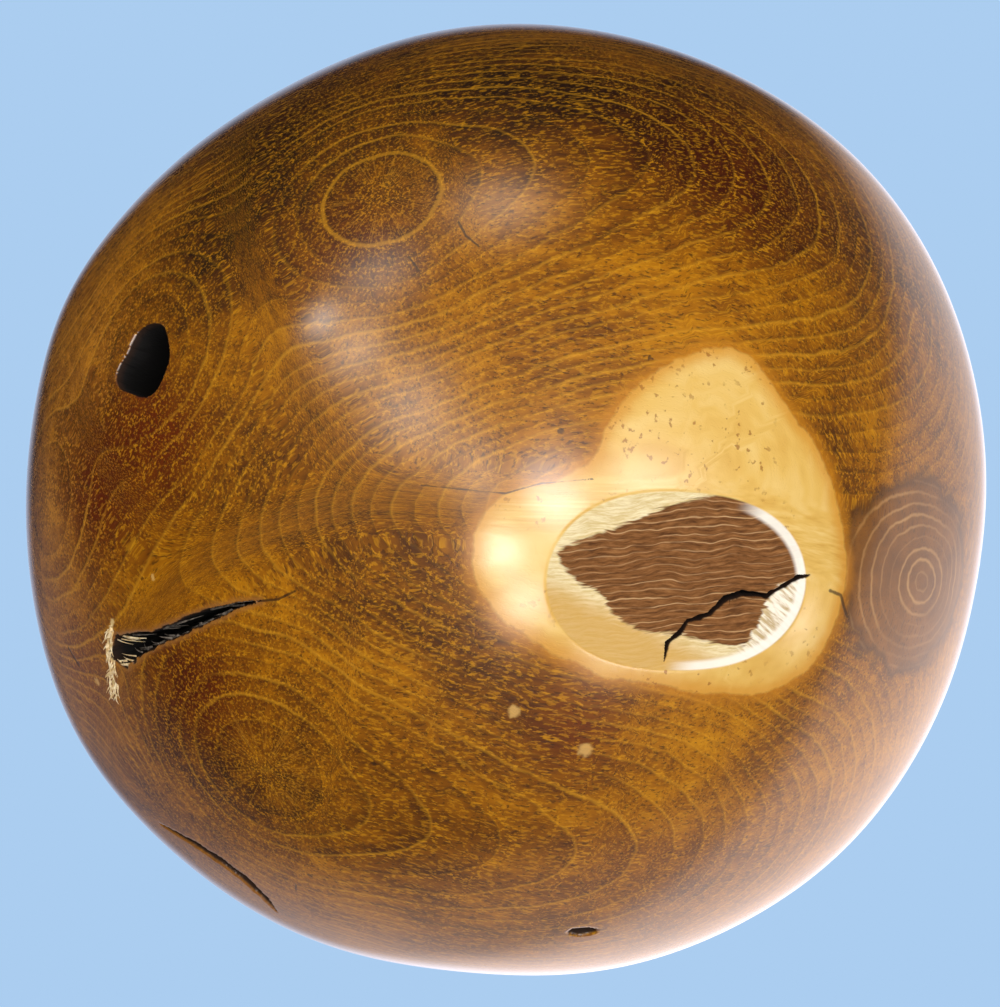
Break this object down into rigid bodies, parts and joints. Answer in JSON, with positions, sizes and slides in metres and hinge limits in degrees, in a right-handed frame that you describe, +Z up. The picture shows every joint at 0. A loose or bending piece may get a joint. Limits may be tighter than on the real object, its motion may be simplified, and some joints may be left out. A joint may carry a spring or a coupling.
{
  "type": "wooden ball",
  "caption": "Solid polished ball worked out of a hardwood root, a little uneven, with a knot hole, drying splits and a small sawn flat to stand on.",
  "frame": {"origin": "middle of the sawn flat that the ball stands on, below the ball's centre", "axes": "+Z up through the ball's centre from the flat, -Y towards the side with the knot hole, +X to the right of it"},
  "size_m": [0.1504, 0.1503, 0.1489],
  "materials": {
    "wood": "golden-brown root wood under clear gloss varnish, raw sanded wood on the flat"
  },
  "bodies": {
    "root": {"ball": "wood"}
  },
  "joints": []
}
